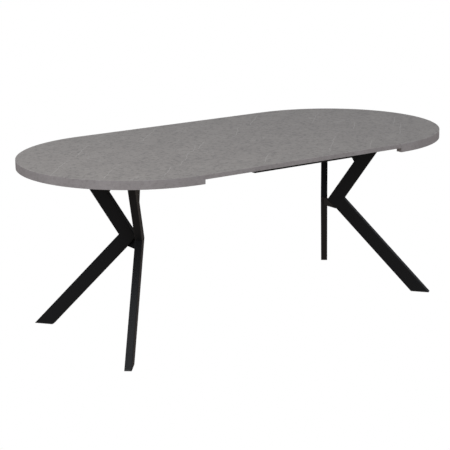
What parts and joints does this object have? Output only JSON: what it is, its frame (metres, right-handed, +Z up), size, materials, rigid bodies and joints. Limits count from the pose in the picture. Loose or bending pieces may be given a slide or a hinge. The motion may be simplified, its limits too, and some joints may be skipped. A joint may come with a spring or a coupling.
{
  "type": "extendable dining table",
  "caption": "Extendable dining table with half-round stone-look tops that slide apart over loose leaves, on bent black spider legs.",
  "frame": {"origin": "on the floor under the middle of the extended table", "axes": "+X along the table towards the right half, +Y to the rear, +Z up"},
  "size_m": [1.9998, 1, 0.75],
  "materials": {
    "laminate": "matt stone-look laminate on particle board",
    "black_steel": "matt black powder coat",
    "black_plastic": "matt",
    "aluminium": "satin extrusion",
    "zinc": "zinc plated"
  },
  "bodies": {
    "centre_slides": {"front_centre_bar": "aluminium", "rear_centre_bar": "aluminium"},
    "right_half": {"right_half_top": "laminate", "right_edge_strip": "laminate", "right_front_upper_leg": "black_steel", "right_front_lower_leg": "black_steel", "right_front_leg_brace": "black_steel", "right_front_head_plate": "black_steel", "right_front_foot_glide": "black_plastic", "right_front_ledge_plate": "zinc", "right_front_runner": "aluminium", "right_rear_upper_leg": "black_steel", "right_rear_lower_leg": "black_steel", "right_rear_leg_brace": "black_steel", "right_rear_head_plate": "black_steel", "right_rear_foot_glide": "black_plastic", "right_rear_ledge_plate": "zinc", "right_rear_runner": "aluminium", "right_knee_link": "black_steel", "right_support_arm": "black_steel", "right_arm_cap": "black_plastic", "right_arm_pad": "black_plastic", "right_head_screws": "zinc", "right_runner_screws": "zinc", "right_ledge_screws": "zinc"},
    "right_leaf_body": {"right_leaf": "laminate", "right_leaf_pegs": "black_plastic"},
    "left_half": {"left_half_top": "laminate", "left_edge_strip": "laminate", "left_front_upper_leg": "black_steel", "left_front_lower_leg": "black_steel", "left_front_leg_brace": "black_steel", "left_front_head_plate": "black_steel", "left_front_foot_glide": "black_plastic", "left_front_ledge_plate": "zinc", "left_front_runner": "aluminium", "left_rear_upper_leg": "black_steel", "left_rear_lower_leg": "black_steel", "left_rear_leg_brace": "black_steel", "left_rear_head_plate": "black_steel", "left_rear_foot_glide": "black_plastic", "left_rear_ledge_plate": "zinc", "left_rear_runner": "aluminium", "left_knee_link": "black_steel", "left_support_arm": "black_steel", "left_arm_cap": "black_plastic", "left_arm_pad": "black_plastic", "left_head_screws": "zinc", "left_runner_screws": "zinc", "left_ledge_screws": "zinc"},
    "left_leaf_body": {"left_leaf": "laminate", "left_leaf_pegs": "black_plastic"}
  },
  "joints": [
    {"name": "right_half_slide", "type": "slide", "parent": "centre_slides", "child": "right_half", "axis": [-1, 0, 0], "range_m": [0, 0.5]},
    {"name": "right_leaf_lift", "type": "slide", "parent": "centre_slides", "child": "right_leaf_body", "axis": [0, 0, 1], "range_m": [0, 0.6]},
    {"name": "left_half_slide", "type": "slide", "parent": "centre_slides", "child": "left_half", "axis": [1, 0, 0], "range_m": [0, 0.5]},
    {"name": "left_leaf_lift", "type": "slide", "parent": "centre_slides", "child": "left_leaf_body", "axis": [0, 0, 1], "range_m": [0, 0.6]}
  ],
  "couplings": [
    {"joint": "right_leaf_lift", "follows": "right_half_slide", "ratio": 1.2},
    {"joint": "left_leaf_lift", "follows": "left_half_slide", "ratio": 1.2}
  ]
}
